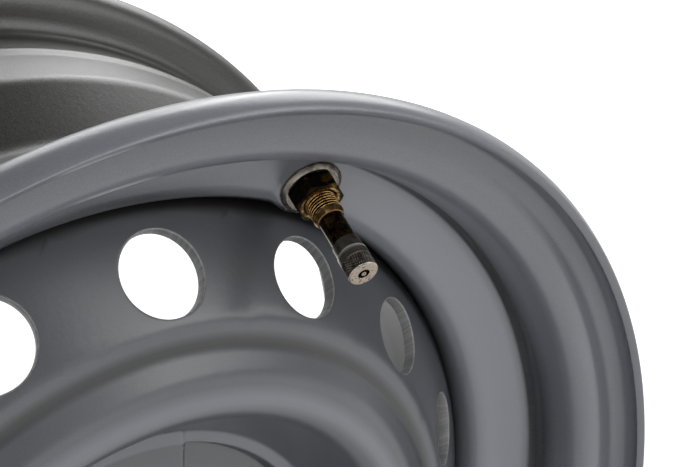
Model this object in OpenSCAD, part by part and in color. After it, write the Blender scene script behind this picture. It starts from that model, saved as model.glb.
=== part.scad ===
// Pressed steel trailer wheel with a metal clamp-in valve.
// The wheel stands upright: its axis lies along Y, its outer face looks to -Y,
// and the origin is on the axis, midway between the two tyre flanges.
// Profiles are drawn as [radius, out], where out is the distance along the axis
// from the rim's middle plane towards the outer face.

/* [Rim] */
// Diameter of the bead seats at the flanges
bead_d = 354.8; // [350:0.2:360]
// Width between the tyre sides of the two flanges
rim_w = 152.4; // [146:0.1:158]
// Height of the flanges above the bead seats
flange_h = 18.1; // [17:0.1:19]
// Thickness of the rim's steel strip
rim_t = 3.1; // [2.6:0.1:3.6]
// Outer radius of the rolled flange
curl_r = 9.3; // [8.6:0.1:10.4]
// How far the roll goes on past the flange's crown, in degrees
curl_end = 48; // [30:1:70]
// Fillet between flange and bead seat
seat_fillet = 6; // [5:0.5:7.5]
// Slope of the bead seats, in degrees
seat_angle = 5; // [4:0.5:6]
// Distance from the flange to the top of the safety hump
hump_at = 21; // [20:0.5:23]
// Height of the safety hump above the bead seat
hump_h = 1.2; // [0.8:0.1:1.6]
// Depth of the drop well below the bead seats, on the tyre side
well_depth = 21; // [19:0.1:22.5]
// Tilt of the front well slope from the plane of the wheel, in degrees
front_slope = 26.7; // [24:0.1:29]
// Distance along the axis from the hump's crest to the top of that slope
slope_from_hump = 5.2; // [4.5:0.1:7]
// How far the slope's top lies below the hump's crest
slope_drop = 1.9; // [1.5:0.1:3]
// Distance of the valve's axis above the well's inner wall
valve_up = 8.8; // [8:0.1:10]
// Length of the shallow ledge behind the rear hump
rear_ledge = 20; // [16:1:24]
// Slope of that ledge, in degrees
rear_ledge_angle = 8.5; // [6:0.5:10]
// Tilt of the rear well slope from the wheel's axis, in degrees
rear_slope = 38; // [34:1:44]

/* [Disc] */
// Thickness of the disc's steel plate
disc_t = 4; // [3.6:0.1:4.2]
// Distance of the hub face in front of the rim's middle plane
offset_et = 30; // [28:0.5:31]
// Radius of the hub bore
bore_r = 33.3; // [30:0.1:35]
// Radius of the dish's flat floor
floor_r = 74.5; // [73:0.5:76]
// Width of the sloping ledge round that floor
ledge_w = 5.5; // [4:0.5:7]
// Height of that ledge
ledge_h = 5.5; // [4.5:0.5:6.5]
// Width of the dish's wall, seen from the front
wall_w = 15; // [13:0.5:17]
// Height of the crown's inner edge above the dish's floor
dish_depth = 28; // [26:0.5:30]
// Width of the crown
crown_w = 12; // [10:0.5:13]
// How far the crown falls over that width
crown_fall = 1.5; // [0.5:0.5:2]
// Width of the slope from the crown's outer edge to the gutter
gutter_w = 8.5; // [7.5:0.5:9.5]
// Depth of the gutter below the crown's inner edge
gutter_depth = 6; // [5:0.5:7]
// Width of the gutter's floor, which ends where the vented cone begins
gutter_floor_w = 7; // [6:0.5:8]
// How far the gutter's floor rises over that width
gutter_rise = 0.4; // [0:0.1:1]
// Tilt of the vented cone from the plane of the wheel, in degrees
cone_angle = 38.5; // [37:0.5:40]
// Bend radius at the cone's outer end, outside
shoulder_r = 9; // [7:0.5:10]
// Length of the disc's cylindrical edge, measured from that corner
disc_edge_len = 33; // [24:1:35]

/* [Vents] */
// Number of vents
vent_count = 16; // [12:1:18]
// Radius of each vent
vent_r = 13; // [10:0.5:13.5]
// How far the ring of vents lies inside the middle of the cone
vent_shift = 2.9; // [0:0.1:4]
// Angle of one vent's centre from the +X axis, in degrees
vent_phase = 59.8; // [50:0.1:70]

/* [Studs] */
// Number of stud holes
stud_count = 5; // [4:1:5]
// Radius of the stud circle
stud_ring_r = 56; // [54:0.5:57.5]
// Radius of the stud holes
stud_hole_r = 7.5; // [6.5:0.25:8]
// How far the stud holes' cone seats widen towards the outer face
stud_seat_w = 1.7; // [1:0.1:2]
// Angle of these seats, in degrees from the hole's axis
stud_seat_angle = 30; // [28:1:45]
// Half the width of the raised land round each stud hole, at its top
land_r = 18; // [15:0.5:18.5]
// Height of the lands above the dish's floor
land_h = 5.5; // [4:0.5:6]
// Tilt of the lands' sides, in degrees from the wheel's axis
land_draft = 24; // [15:1:30]
// Angle of one stud hole from the +X axis, in degrees
stud_phase = 86; // [80:1:100]

/* [Welds] */
// Number of weld beads between the disc and the rim
weld_count = 8; // [4:1:10]
// Angle that each bead spans, in degrees
weld_span = 26; // [18:1:30]
// Leg of the weld's section
weld_leg = 3.4; // [2.5:0.1:3.8]

/* [Valve] */
// Angle of the valve from the +X axis, in degrees
valve_phase = 64.5; // [60:0.1:70]
// Radius of the washer
washer_r = 9.85; // [9:0.05:10.5]
// Thickness of the washer
washer_t = 1.7; // [1.2:0.1:2]
// Width of the nut across its flats
nut_af = 14; // [13:0.5:15]
// Height of the nut
nut_h = 5.5; // [4.5:0.1:6]
// Outer radius of the stem's threaded barrel
barrel_r = 4.8; // [4.6:0.05:5]
// Length of that barrel outside the rim, with its end collar
barrel_len = 14.4; // [13:0.1:15]
// Length of the collar at the barrel's end
collar_len = 2.1; // [1.5:0.1:2.5]
// Pitch of the barrel's thread
barrel_pitch = 0.8; // [0.75:0.05:1]
// Depth of that thread
thread_depth = 0.4; // [0.2:0.05:0.45]
// Radius of the slim stem and of its cap thread
stem_r = 3.85; // [3.7:0.05:4]
// Length from the rim to the stem's tip
stem_len = 33.1; // [32:0.1:34]
// Radius of the stem's head on the tyre side
head_r = 7.5; // [7:0.1:8]
// Thickness of the stem's head
head_t = 2.6; // [2:0.1:3]
// Thickness of the rubber grommet under the head
grommet_t = 2.2; // [1.8:0.1:2.6]
// Thickness of its neck, which fills the valve hole round the barrel
grommet_neck = 0.85; // [0.6:0.05:1.2]
// Radius of the air passage through the stem's foot
passage_r = 1.5; // [1.2:0.1:1.8]

/* [Valve cap] */
// Wall of the cap's knurled part
cap_wall = 0.61; // [0.5:0.01:0.9]
// Wall of the cap's plain skirt
skirt_wall = 0.41; // [0.3:0.01:0.5]
// Whole length of the cap
cap_len = 12.1; // [11.5:0.1:12.5]
// Length of the plain skirt
skirt_len = 3.8; // [3:0.1:4.5]
// Length of the smooth band between the skirt's ring and the knurling
band_len = 2.2; // [1.5:0.1:2.6]
// Number of knurl ridges round the cap
knurl_count = 30; // [24:1:36]
// Depth of the knurling
knurl_depth = 0.22; // [0.1:0.02:0.3]
// Thickness of the cap's end wall
cap_end_t = 1.5; // [1.2:0.1:1.6]
// Radius of the dimple in the cap's end
dimple_r = 1.5; // [1.2:0.1:1.8]
// Thickness of the rubber disc in the cap
cap_seal_t = 0.9; // [0.7:0.1:1]

/* [Valve core] */
// Outer radius of the core's threaded plug
plug_r = 2.45; // [2.4:0.05:2.5]
// Length of the plug's threaded part
plug_len = 3.2; // [2.8:0.1:3.4]
// Length of the flat tongue on the plug
tongue_len = 1.2; // [1:0.1:1.4]
// Thickness of that tongue
tongue_t = 2.2; // [2:0.1:2.6]
// Outer radius of the core's barrel
core_r = 1.75; // [1.7:0.05:1.8]
// Length of the core's barrel
core_len = 8; // [7.5:0.1:8.5]
// Wall of the core's barrel
core_wall = 0.35; // [0.3:0.05:0.4]
// Radius of the core's pin
pin_r = 0.5; // [0.45:0.05:0.55]
// Radius of the collar on the pin, which the spring pushes on
pin_collar_r = 1.15; // [1.1:0.05:1.2]
// Radius of the spring's wire
wire_r = 0.18; // [0.14:0.02:0.2]
// Number of the spring's turns
spring_turns = 5; // [4:1:6]
// Travel of the pin when it is pressed
pin_travel = 1.2; // [1:0.1:1.4]

/* [Hidden] */
$fn = 96;
// Number of straight steps in a fillet of a profile
fillet_steps = 8;
// Running clearance of round fits in the valve
fit_gap = 0.06;
// Radial clearance between the cap's bore and the stem
cap_gap = 0.09;
// Width of the pressed flat that shows round the washer
flat_w = 1;
// Draft of that flat's edge
flat_draft = 0.8;
// Clearance round the valve's head on the tyre side
head_air = 0.9;
// Gap between a rubber seal and the face that it closes
seal_gap = 0.04;
// Gap round the core's pin, and round its cup in the stem
pin_air = 0.25;
cup_air = 0.3;
// Length of the core's rubber gasket and of its cone
gasket_len = 1.6;
gasket_cone = 1.2;
// Floor of the core's barrel, which carries the spring
core_floor_t = 0.5;
// How far the pin's collar lies under the plug, and its thickness
collar_sink = 0.9;
pin_collar_t = 0.4;
// How far the pin's tip lies inside the stem's tip, and how far its foot passes the cup
pin_sink = 0.35;
pin_tail = 0.6;
// The cup's length, its wall and its step inside the core's barrel
cup_len = 1.6;
cup_wall = 0.25;
cup_step = 0.1;
// Overshoot of a cutting tool
cut = 1;

paint = [0.36, 0.37, 0.39];
brass = [0.62, 0.47, 0.22];
browned = [0.16, 0.12, 0.09];
nickel = [0.66, 0.64, 0.60];
rubber = [0.08, 0.08, 0.08];

// Points on profiles

function unit(v) = v / norm(v);
function left(v) = [-v[1], v[0]];
function polar(a) = [cos(a), sin(a)];
function turn(v, a) = [v[0] * cos(a) - v[1] * sin(a), v[0] * sin(a) + v[1] * cos(a)];
function angle_between(u, v) = atan2(u[0] * v[1] - u[1] * v[0], u[0] * v[0] + u[1] * v[1]);

// Points of a fillet at corner b of the path a, b, c, each with its left normal.
// reach is the length of the tangents on both sides of the corner.
function fillet(a, b, c, r) =
    let (d = unit(b - a), bend = angle_between(d, unit(c - b)), side = sign(bend),
        reach = r * tan(abs(bend) / 2), hub = b - d * reach + side * left(d) * r)
    r == 0 || side == 0 ? [[b, left(d)]] :
    [for (k = [0 : fillet_steps])
        let (n = turn(left(d), bend * k / fillet_steps)) [hub - side * n * r, n]];

// A path through corners [radius, out, fillet], as points with their left normals.
// Its first and last corner have no fillet.
function path(corners) =
    let (p = [for (c = corners) [c[0], c[1]]], last = len(p) - 1)
    concat([[p[0], left(unit(p[1] - p[0]))]],
        [for (i = [1 : last - 1], q = fillet(p[i - 1], p[i], p[i + 1], corners[i][2])) q],
        [[p[last], left(unit(p[last] - p[last - 1]))]]);

// An arc round hub from angle a0 to a1, as points with their outward normals
function arc(hub, r, a0, a1, steps) =
    [for (k = [0 : steps]) let (n = polar(a0 + (a1 - a0) * k / steps)) [hub + r * n, n]];

// The closed outline of a strip whose left face is the path and whose thickness is t
function strip(way, t) = concat([for (q = way) q[0]],
    [for (i = [len(way) - 1 : -1 : 0]) way[i][0] - way[i][1] * t]);

// A profile of [radius, out] turned round the wheel's axis
module round_the_wheel(points, angle = 360) {
    rotate([90, 0, 0]) rotate_extrude(angle = angle, $fn = 360) polygon(points);
}

// Children drawn on the wheel's face at angle a: their X is radial and their Z points out
module at_angle(a) {
    rotate([90, 0, 0]) rotate(a) children();
}

// Rim

wall_out = rim_w / 2;
bead_r = bead_d / 2;
curl_hub = [bead_r + flange_h - curl_r, wall_out + curl_r];
curl_steps = 20;
well_outer_r = bead_r - well_depth;
well_r = well_outer_r - rim_t;
hump_out = wall_out - hump_at;
// Radius of the bead seat at a distance from the flange
function seat_r(from_flange) = bead_r - from_flange * tan(seat_angle);
hump_r = seat_r(hump_at) + hump_h;
// Where the tyre side of the front well slope has radius r
slope_top_r = hump_r - slope_drop;
function slope_out(r) = hump_out - slope_from_hump + (r - slope_top_r) * tan(front_slope);

hump_half = 4;
hump_fillet = 5;
slope_fillet = 5.5;
well_fillet = 7;
rear_fillet = 9;
rear_foot = [seat_r(hump_at + hump_half), -hump_out + hump_half];
ledge_end = rear_foot + rear_ledge * [-sin(rear_ledge_angle), cos(rear_ledge_angle)];
well_rear_out = ledge_end[1] + (ledge_end[0] - well_outer_r) / tan(rear_slope);

rim_corners = [
    [curl_hub[0], wall_out, 0],
    [bead_r, wall_out, seat_fillet],
    [seat_r(hump_at - hump_half), hump_out + hump_half, hump_fillet],
    [hump_r, hump_out, hump_fillet],
    [slope_top_r, slope_out(slope_top_r), slope_fillet],
    [well_outer_r, slope_out(well_outer_r), well_fillet],
    [well_outer_r, well_rear_out, rear_fillet],
    [ledge_end[0], ledge_end[1], rear_fillet],
    [rear_foot[0], rear_foot[1], hump_fillet],
    [hump_r, -hump_out, hump_fillet],
    [seat_r(hump_at - hump_half), -hump_out - hump_half, hump_fillet],
    [bead_r, -wall_out, seat_fillet],
    [curl_hub[0], -wall_out, 0]
];

rim_path = concat(
    arc(curl_hub, curl_r, curl_end, -90, curl_steps),
    [for (q = path(rim_corners)) q],
    arc([curl_hub[0], -curl_hub[1]], curl_r, 90, -curl_end, curl_steps));

valve_seat_r = well_r + valve_up;
valve_seat_out = slope_out(valve_seat_r) + rim_t / cos(front_slope);
valve_hole_r = barrel_r + grommet_neck;

// A pressed flat carries the washer inside and the grommet on the tyre side
module rim() {
    flat_r = washer_r + flat_w;
    color(paint) difference() {
        union() {
            round_the_wheel(strip(rim_path, rim_t));
            at_valve(-rim_t) cylinder(r1 = flat_r + flat_draft, r2 = flat_r, h = rim_t);
        }
        at_valve() cylinder(r = flat_r, h = cut);
        at_valve(-rim_t - cut) cylinder(r = valve_hole_r, h = rim_t + 2 * cut);
        at_valve(head_from - cut) cylinder(r = head_r + head_air, h = -rim_t - head_from + cut);
    }
}

// Disc. Its profile is given by the outside face.

floor_out = offset_et + disc_t;
ledge_r = floor_r + ledge_w;
crown_r = ledge_r + wall_w;
crown_out = floor_out + dish_depth;
gutter_r = crown_r + crown_w + gutter_w;
cone_r = gutter_r + gutter_floor_w;
vent_ring_r = (cone_r + well_r) / 2 - vent_shift;
// Where the outside of the vented cone has radius r
function cone_out(r) = crown_out - gutter_depth + gutter_rise - (r - cone_r) * tan(cone_angle);
shoulder_out = cone_out(well_r);
edge_end_out = shoulder_out - disc_edge_len;

disc_corners = [
    [bore_r, floor_out, 0],
    [floor_r, floor_out, 2.5],
    [ledge_r, floor_out + ledge_h, 3],
    [crown_r, crown_out, 9],
    [crown_r + crown_w, crown_out - crown_fall, 12],
    [gutter_r, crown_out - gutter_depth, 10],
    [cone_r, cone_out(cone_r), 8],
    [well_r, shoulder_out, shoulder_r],
    [well_r, edge_end_out, 0]
];

// The space in front of the middle of the dish's plate
dish_path = path([for (i = [0 : 3]) disc_corners[i]]);
dish_space = concat([for (q = dish_path) q[0] - q[1] * disc_t / 2], [[bore_r, crown_out]]);

// A land of half width half at its top, which lies at height top_out: a cone round the
// stud hole, drawn out towards the dish's wall. Its sides widen down to its foot, h below.
module land(half, h, top_out) {
    foot = half + h * tan(land_draft);
    for (k = [0 : stud_count - 1])
        at_angle(stud_phase + k * 360 / stud_count) translate([stud_ring_r, 0, top_out - h]) {
            cylinder(r1 = foot, r2 = half, h = h);
            rotate([90, 0, 90]) linear_extrude(crown_r - stud_ring_r)
                polygon([[-foot, 0], [foot, 0], [half, h], [-half, h]]);
        }
}

module stud_cuts(land_out) {
    seat_depth = stud_seat_w / tan(stud_seat_angle);
    for (k = [0 : stud_count - 1])
        at_angle(stud_phase + k * 360 / stud_count) {
            translate([stud_ring_r, 0, land_out - disc_t - cut])
                cylinder(r = stud_hole_r, h = disc_t + 2 * cut);
            translate([stud_ring_r, 0, land_out - seat_depth])
                cylinder(r1 = stud_hole_r, r2 = stud_hole_r + stud_seat_w, h = seat_depth);
        }
}

module vent_cuts() {
    for (k = [0 : vent_count - 1])
        at_angle(vent_phase + k * 360 / vent_count)
            translate([vent_ring_r, 0, cone_out(vent_ring_r)]) rotate([0, cone_angle, 0])
                translate([0, 0, -disc_t - vent_r]) cylinder(r = vent_r, h = disc_t + 2 * vent_r);
}

module disc() {
    land_out = floor_out + land_h;
    recess_half = land_r + disc_t * tan(land_draft) - disc_t / cos(land_draft);
    recess_h = land_h + cut;
    color(paint) difference() {
        union() {
            round_the_wheel(strip(path(disc_corners), disc_t));
            intersection() {
                land(land_r, land_h + disc_t / 2, land_out);
                round_the_wheel(dish_space);
            }
        }
        land(recess_half, recess_h, land_out - disc_t);
        stud_cuts(land_out);
        vent_cuts();
    }
}

// Welds

// A bead's section has its root in the corner between the disc's edge and the rim
module disc_welds() {
    color(paint) for (k = [0 : weld_count - 1])
        rotate([0, -k * 360 / weld_count, 0])
            round_the_wheel([
                [well_r, edge_end_out],
                [well_r - weld_leg, edge_end_out],
                [well_r - weld_leg * 0.45, edge_end_out - weld_leg * 0.6],
                [well_r, edge_end_out - weld_leg]], weld_span);
}

// Valve. Its own axis starts where it meets the inside of the rim and points out.

module at_valve(from = 0) {
    at_angle(valve_phase) translate([valve_seat_r, 0, valve_seat_out])
        rotate([0, -front_slope, 0]) translate([0, 0, from]) children();
}

module turned(points) {
    rotate_extrude($fn = 64) polygon(points);
}

grommet_from = -rim_t - grommet_t;
head_from = grommet_from - head_t;
thread_to = barrel_len - collar_len;
thread_turns = floor((thread_to - washer_t - nut_h) / barrel_pitch);
thread_from = thread_to - thread_turns * barrel_pitch;
cap_from = stem_len + cap_seal_t + cap_end_t - cap_len;
cap_bore_r = stem_r + cap_gap;
cap_r = cap_bore_r + cap_wall;
skirt_r = cap_bore_r + skirt_wall;

// The valve core hangs in the stem's tip. Below its plug the passage narrows in a cone.
core_sink = 0.6;
plug_foot = stem_len - core_sink - tongue_len - plug_len;
core_foot = plug_foot - core_len;
chamber_r = plug_r + fit_gap;
narrow_r = core_r + cup_air;
gasket_from = plug_foot - gasket_len;
cup_from = core_foot - cup_len;
pin_from = cup_from - pin_tail;
chamber_foot = pin_from - pin_travel - cup_air;

// The barrel's thread is drawn as one groove for each turn
module valve_stem() {
    edge = 0.4;
    grooves = [for (k = [0 : thread_turns - 1], q = [[0.1, 0], [0.45, 1], [0.55, 1], [0.9, 0]])
        [barrel_r - thread_depth * q[1], thread_from + (k + q[0]) * barrel_pitch]];
    color(brass) at_valve() turned(concat(
        [[passage_r, head_from],
        [head_r - edge, head_from],
        [head_r, head_from + edge],
        [head_r, grommet_from - edge],
        [head_r - edge, grommet_from],
        [barrel_r, grommet_from]],
        grooves,
        [[barrel_r, barrel_len - edge],
        [barrel_r - edge, barrel_len],
        [stem_r, barrel_len],
        [stem_r, stem_len - edge],
        [stem_r - edge, stem_len],
        [chamber_r, stem_len],
        [chamber_r, gasket_from + gasket_cone],
        [narrow_r, gasket_from],
        [narrow_r, chamber_foot],
        [passage_r, chamber_foot]]));
}

module valve_grommet() {
    edge = 0.4;
    neck_to = -0.2;
    color(rubber) at_valve() turned([
        [barrel_r + fit_gap, grommet_from],
        [head_r, grommet_from],
        [head_r + edge, grommet_from + edge],
        [head_r + edge, -rim_t - edge],
        [head_r, -rim_t],
        [valve_hole_r - fit_gap, -rim_t],
        [valve_hole_r - fit_gap, neck_to],
        [barrel_r + fit_gap, neck_to]]);
}

module valve_washer() {
    edge = 0.35;
    color(nickel) at_valve() turned([
        [barrel_r + fit_gap, 0],
        [washer_r - edge, 0],
        [washer_r, edge],
        [washer_r, washer_t - edge],
        [washer_r - edge, washer_t],
        [barrel_r + fit_gap, washer_t]]);
}

module valve_nut() {
    corner_r = nut_af / 2 / cos(30);
    chamfer = (corner_r - nut_af / 2) * tan(30);
    color(browned) at_valve(washer_t) difference() {
        intersection() {
            rotate(30) cylinder(r = corner_r, h = nut_h, $fn = 6);
            turned([[0, 0], [corner_r, 0], [corner_r, nut_h - chamfer],
                [nut_af / 2 - 0.4, nut_h], [0, nut_h]]);
        }
        translate([0, 0, -cut]) cylinder(r = barrel_r + fit_gap, h = nut_h + 2 * cut);
    }
}

// Valve core

pin_bore_r = pin_r + pin_air;
collar_to = plug_foot - collar_sink;
collar_from = collar_to - pin_collar_t;

module core_plug() {
    color(brass) at_valve(plug_foot) difference() {
        union() {
            cylinder(r = plug_r, h = plug_len);
            intersection() {
                cylinder(r = plug_r * 0.8, h = plug_len + tongue_len);
                translate([-plug_r, -tongue_t / 2, 0]) cube([2 * plug_r, tongue_t, plug_len + tongue_len]);
            }
        }
        translate([0, 0, -cut]) cylinder(r = pin_bore_r, h = plug_len + tongue_len + 2 * cut);
    }
}

module core_barrel() {
    inner_r = core_r - core_wall;
    color(brass) at_valve() turned([
        [pin_bore_r, core_foot],
        [core_r, core_foot],
        [core_r, plug_foot],
        [inner_r, plug_foot],
        [inner_r, core_foot + core_floor_t],
        [pin_bore_r, core_foot + core_floor_t]]);
}

module core_gasket() {
    foot = gasket_from + seal_gap;
    color(rubber) at_valve() turned([
        [core_r, foot],
        [narrow_r - seal_gap, foot],
        [chamber_r - seal_gap, foot + gasket_cone],
        [chamber_r - seal_gap, plug_foot],
        [core_r, plug_foot]]);
}

module core_pin() {
    top = stem_len - pin_sink;
    color(brass) at_valve() turned([
        [0, pin_from],
        [pin_r, pin_from],
        [pin_r, collar_from],
        [pin_collar_r, collar_from],
        [pin_collar_r, collar_to],
        [pin_r, collar_to],
        [pin_r, top],
        [0, top]]);
}

// A point on the spring: t counts its turns, a is the angle round the wire
function spring_point(t, a, from, rise) =
    let (r = pin_r + pin_air + wire_r * (1 + cos(a)))
    [r * cos(360 * t), r * sin(360 * t), from + rise * t + wire_r * sin(a)];

// The wire is a row of rings, each with its corners on the wire's round
module core_spring() {
    corners = 6;
    rings = 16 * spring_turns;
    from = core_foot + core_floor_t + wire_r + seal_gap;
    rise = (collar_from - wire_r - seal_gap - from) / spring_turns;
    points = [for (i = [0 : rings], j = [0 : corners - 1])
        spring_point(i * spring_turns / rings, 360 * j / corners, from, rise)];
    sides = [for (i = [0 : rings - 1], j = [0 : corners - 1])
        let (a = i * corners + j, b = i * corners + (j + 1) % corners) [a, b, b + corners, a + corners]];
    first = [for (j = [corners - 1 : -1 : 0]) j];
    last = [for (j = [0 : corners - 1]) rings * corners + j];
    color(nickel) at_valve() polyhedron(points, concat([first], sides, [last]), convexity = 10);
}

// The cup holds the rubber ring that closes the core's foot
module core_cup() {
    cup_r = core_r - cup_step;
    color(brass) at_valve() turned([
        [pin_r, cup_from],
        [cup_r, cup_from],
        [cup_r, cup_from + cup_len * 0.75],
        [cup_r - cup_wall, cup_from + cup_len * 0.75],
        [cup_r - cup_wall, cup_from + cup_wall],
        [pin_r, cup_from + cup_wall]]);
}

module core_cup_seal() {
    seal_r = core_r - cup_step - cup_wall;
    color(rubber) at_valve() turned([
        [pin_r, cup_from + cup_wall],
        [seal_r, cup_from + cup_wall],
        [seal_r, core_foot - seal_gap],
        [pin_r, core_foot - seal_gap]]);
}

// Cap

module cap_seal() {
    color(rubber) at_valve(stem_len + seal_gap)
        cylinder(r = cap_bore_r - fit_gap, h = cap_seal_t - 2 * seal_gap);
}

module valve_cap() {
    edge = 0.25;
    top = cap_from + cap_len;
    ring = cap_from + skirt_len;
    knurl_from = ring + band_len;
    knurl_to = top - 2 * edge;
    root_r = cap_r - knurl_depth;
    color(nickel) at_valve() difference() {
        union() {
            turned([
                [0, cap_from],
                [skirt_r - edge, cap_from],
                [skirt_r, cap_from + edge],
                [skirt_r, ring - edge],
                [cap_r, ring],
                [cap_r, knurl_from],
                [root_r, knurl_from + knurl_depth],
                [root_r, knurl_to - knurl_depth],
                [cap_r, knurl_to],
                [cap_r - 2 * edge, top],
                [0, top]]);
            for (k = [0 : knurl_count - 1])
                rotate(k * 360 / knurl_count) translate([root_r, 0, knurl_from])
                    rotate(45) translate([-knurl_depth, -knurl_depth, 0] * 0.7)
                        cube([1.4 * knurl_depth, 1.4 * knurl_depth, knurl_to - knurl_from]);
        }
        translate([0, 0, cap_from - cut]) cylinder(r = cap_bore_r, h = cap_len - cap_end_t + cut);
        translate([0, 0, top - 0.35]) cylinder(r1 = dimple_r * 0.6, r2 = dimple_r, h = 0.351);
    }
}

rim();
disc();
disc_welds();
valve_stem();
valve_grommet();
valve_washer();
valve_nut();
core_plug();
core_barrel();
core_gasket();
core_pin();
core_spring();
core_cup();
core_cup_seal();
cap_seal();
valve_cap();
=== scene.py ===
# %% [markdown]
# # A pressed steel trailer wheel with a metal clamp-in valve
# The wheel stands upright as on its hub: Y is its axis and its outer face looks to -Y.
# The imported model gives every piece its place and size. This file gives the pieces their finish:
# the rolled rim, the pressed disc and the turned valve get finer surfaces in the same places.

# %% Load the fixed frame
from math import atan2, cos, radians, sin, tan

import bmesh
import bpy
import numpy as np
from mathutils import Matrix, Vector


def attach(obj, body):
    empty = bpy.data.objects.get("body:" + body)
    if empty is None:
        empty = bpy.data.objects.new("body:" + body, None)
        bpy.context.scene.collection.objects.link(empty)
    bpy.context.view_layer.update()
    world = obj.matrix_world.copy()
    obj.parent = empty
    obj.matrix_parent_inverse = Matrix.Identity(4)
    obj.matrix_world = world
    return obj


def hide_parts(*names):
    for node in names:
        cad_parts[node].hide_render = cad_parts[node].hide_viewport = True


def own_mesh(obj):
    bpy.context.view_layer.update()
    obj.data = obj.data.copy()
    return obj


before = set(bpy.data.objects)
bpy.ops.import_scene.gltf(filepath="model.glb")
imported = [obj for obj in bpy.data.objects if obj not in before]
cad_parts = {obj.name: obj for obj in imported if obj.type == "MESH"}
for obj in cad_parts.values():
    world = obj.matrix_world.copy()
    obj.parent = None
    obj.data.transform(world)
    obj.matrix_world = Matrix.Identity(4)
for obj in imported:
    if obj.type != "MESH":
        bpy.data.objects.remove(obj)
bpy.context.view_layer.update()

# %% [markdown]
# ## The camera
# The photograph was taken from close by, to the left of the wheel and above its middle, looking
# down at the valve. The place and the lens follow from the rim's ellipses, so the camera comes first.

# %% Set the camera
lens = bpy.data.cameras.new("camera")
lens.lens = 60.855
lens.sensor_width = 36.0
lens.clip_start = 0.01
camera = bpy.data.objects.new("camera", lens)
camera.location = (-0.132157, -0.302674, 0.278543)
looking = Vector((0.589845, 0.693987, -0.412873))
camera.rotation_euler = looking.to_track_quat("-Z", "Y").to_euler()
bpy.context.scene.collection.objects.link(camera)
bpy.context.scene.camera = camera
print("camera at", tuple(round(x, 3) for x in camera.location))

# %% [markdown]
# ## Sections and grids
# A pressed wheel is a section turned round an axis. So each big surface here starts as a path of
# points (radius, out) in millimetres, where out is the distance from the rim's middle plane
# towards the outer face, and is then carried round the axis as one grid of points.

# %% Paths with rounded corners
MM = 0.001


def rounded_path(corners, steps):
    """Points and left normals of a path through corners (radius, out, fillet).
    A fillet is the arc that touches both straights. Its normal turns evenly from one to the other."""
    p = np.array([c[:2] for c in corners], float)
    d = np.diff(p, axis=0)
    d /= np.linalg.norm(d, axis=1)[:, None]
    left = np.stack([-d[:, 1], d[:, 0]], 1)
    points, normals = [p[:1]], [left[:1]]
    for k in range(1, len(p) - 1):
        bend = atan2(d[k - 1, 0] * d[k, 1] - d[k - 1, 1] * d[k, 0], d[k - 1] @ d[k])
        side, r = np.sign(bend), corners[k][2]
        hub = p[k] - d[k - 1] * r * tan(abs(bend) / 2) + side * left[k - 1] * r
        a = np.linspace(0, bend, steps + 1 if r else 1)[:, None]
        n = left[k - 1] * np.cos(a) + np.array([-left[k - 1][1], left[k - 1][0]]) * np.sin(a)
        points.append(hub - side * r * n)
        normals.append(n)
    return np.vstack(points + [p[-1:]]), np.vstack(normals + [left[-1:]])


def arc_path(hub, r, first, last, steps):
    """Points of an arc round hub from one angle to another, with their outward normals."""
    a = np.radians(np.linspace(first, last, steps + 1))[:, None]
    n = np.hstack([np.cos(a), np.sin(a)])
    return np.array(hub) + r * n, n


# %% Points on the straights
def supported(points, normals, near=0.5):
    """Adds a point near both ends of each long straight, so that smooth shading stays flat between."""
    d = np.diff(points, axis=0)
    length = np.linalg.norm(d, axis=1)
    long = np.nonzero(length > 4 * near)[0]
    step = d[long] / length[long, None] * near
    both = np.stack([points[long] + step, points[long + 1] - step], 1).reshape(-1, 2)
    flat = np.stack([-step[:, 1], step[:, 0]], 1) / near
    at = np.repeat(long + 1, 2)
    return np.insert(points, at, both, axis=0), np.insert(normals, at, np.repeat(flat, 2, 0), axis=0)


def fill_in(points, normals, longest):
    """Cuts each step of the path into even shares that are no longer than the step's value in longest."""
    step = np.linalg.norm(np.diff(points, axis=0), axis=1)
    count = np.maximum(np.ceil(step / longest - 1e-6), 1).astype(int)
    first = np.repeat(np.arange(len(step)), count)
    share = (np.arange(count.sum()) - np.repeat(np.cumsum(count) - count, count)) / count[first]
    t = np.append(first + share, len(step))
    all_in = np.hstack([points, normals])
    all_in = np.stack([np.interp(t, np.arange(len(points)), column) for column in all_in.T], 1)
    n = all_in[:, 2:] / np.linalg.norm(all_in[:, 2:], axis=1)[:, None]
    return all_in[:, :2], n


# %% Grids of points become closed meshes
def wheel_place(radius, out, angle):
    """Points in metres: x = radius cos(angle), y = -out, z = radius sin(angle)."""
    radius, out, angle = np.broadcast_arrays(radius, out, angle)
    return np.stack([radius * np.cos(angle), -out, radius * np.sin(angle)], -1) * MM


def grid_faces(rows, columns, close_rows=False, close_columns=True, keep=None):
    """The quads of a grid whose points are numbered row by row."""
    i = np.arange(rows if close_rows else rows - 1)[:, None]
    j = np.arange(columns if close_columns else columns - 1)[None, :]
    i2, j2 = (i + 1) % rows, (j + 1) % columns
    corners = np.broadcast_arrays(i * columns + j, i2 * columns + j, i2 * columns + j2, i * columns + j2)
    quads = np.stack(corners, -1)
    return (quads if keep is None else quads[keep]).reshape(-1, 4)


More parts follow.
